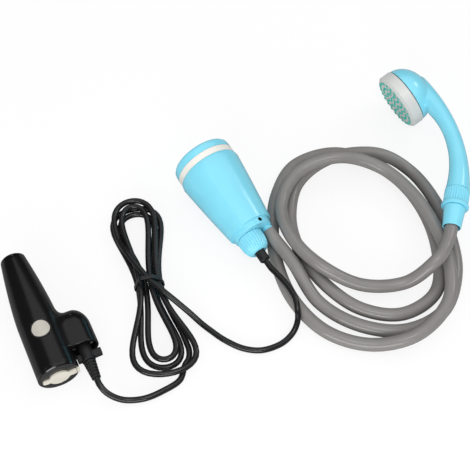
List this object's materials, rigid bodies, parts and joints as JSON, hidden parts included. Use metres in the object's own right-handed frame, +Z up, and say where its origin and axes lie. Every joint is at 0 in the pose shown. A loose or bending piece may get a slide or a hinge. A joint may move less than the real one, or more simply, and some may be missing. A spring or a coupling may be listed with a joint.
{
  "type": "camp shower pump",
  "caption": "Portable camp shower set: submersible pump, battery pack with push button, cable hank, coiled hose and angled shower head.",
  "frame": {"origin": "on the floor below the middle of the box round the pack, the pump and the shower head", "axes": "+X to the viewer's right along the set's longest side, +Y away from the viewer, +Z up"},
  "size_m": [0.4446, 0.3556, 0.0633],
  "materials": {
    "gloss_black": "gloss moulded",
    "black_trim": "satin",
    "cover_rubber": "matt silicone",
    "silver_cap": "silver lacquer",
    "black_rubber": "matt",
    "cord_black": "semi-gloss jacket",
    "board": "solder mask",
    "cell_wrap": "shrink wrap",
    "lens": "tinted",
    "white_plastic": "gloss moulded",
    "steel": "plain",
    "sky_blue": "gloss moulded",
    "hose_grey": "smooth vinyl",
    "nozzle_teal": "matt silicone",
    "brass": "turned"
  },
  "bodies": {
    "set": {"plug_body": "black_rubber", "strain_relief": "black_rubber", "lead_to_pack": "cord_black", "cord_hank": "cord_black", "lead_to_pump": "cord_black", "cord_tie": "cord_black", "inlet_ring": "white_plastic", "suction_plate": "white_plastic", "volute": "white_plastic", "chamber_plate": "white_plastic", "plate_seal": "black_rubber", "plate_screws": "steel", "shaft_seal": "black_rubber", "motor_cup": "white_plastic", "motor_can": "steel", "motor_lid": "white_plastic", "riser_tube": "white_plastic", "pump_shell": "sky_blue", "outlet_nipple": "sky_blue", "gland_cap": "sky_blue", "cord_seal": "black_rubber", "lead_tail": "cord_black", "cord_bush": "black_rubber", "hose": "hose_grey", "shower_shell": "sky_blue", "face_plate": "silver_cap", "nozzle_mat": "nozzle_teal", "water_divider": "white_plastic", "face_gasket": "black_rubber", "handle_thread": "white_plastic", "nut_washer": "black_rubber", "hose_tail": "brass", "hose_cone": "sky_blue"},
    "pack": {"pack_upper_shell": "gloss_black", "pack_lower_shell": "gloss_black", "nose_cap": "gloss_black", "end_cap": "gloss_black", "charge_port": "black_trim", "cover_anchor": "cover_rubber", "button_seal": "black_rubber", "button_switch": "black_trim", "control_board": "board", "battery_cells": "cell_wrap", "cell_cradle": "white_plastic", "indicator_lens": "lens", "socket_plate": "black_trim", "socket_screws": "steel", "dc_socket": "black_trim", "pack_screws": "steel"},
    "button": {"power_button": "silver_cap"},
    "cover": {"charge_cover": "cover_rubber"},
    "rotor": {"impeller": "white_plastic", "motor_rotor": "steel"},
    "strainer": {"strainer_cap": "sky_blue", "filter_screen": "steel"},
    "nut": {"union_nut": "sky_blue"}
  },
  "joints": [
    {"name": "pack_unplug", "type": "slide", "parent": "set", "child": "pack", "axis": [-0.4226, 0.9063, 0], "range_m": [0, 0.025]},
    {"name": "button_press", "type": "slide", "parent": "pack", "child": "button", "axis": [0, 0, -1], "range_m": [0, 0.001], "stiffness_N_per_m": 900, "springref_m": -0.001},
    {"name": "cover_swing", "type": "hinge", "parent": "pack", "child": "cover", "pos_m": [-0.14276, -0.15901, 0.019], "axis": [0, 0, 1], "range_deg": [0, 85]},
    {"name": "rotor_spin", "type": "hinge", "parent": "set", "child": "rotor", "pos_m": [-0.03776, 0.06311, 0.03373], "axis": [0.533, -0.8367, -0.1256], "continuous": true},
    {"name": "strainer_twist", "type": "hinge", "parent": "set", "child": "strainer", "pos_m": [-0.03776, 0.06311, 0.03373], "axis": [0.533, -0.8367, -0.1256], "range_deg": [0, 40]},
    {"name": "nut_turn", "type": "hinge", "parent": "set", "child": "nut", "pos_m": [0.20899, 0.01986, 0.03833], "axis": [-0.2314, -0.964, -0.1307], "continuous": true}
  ]
}
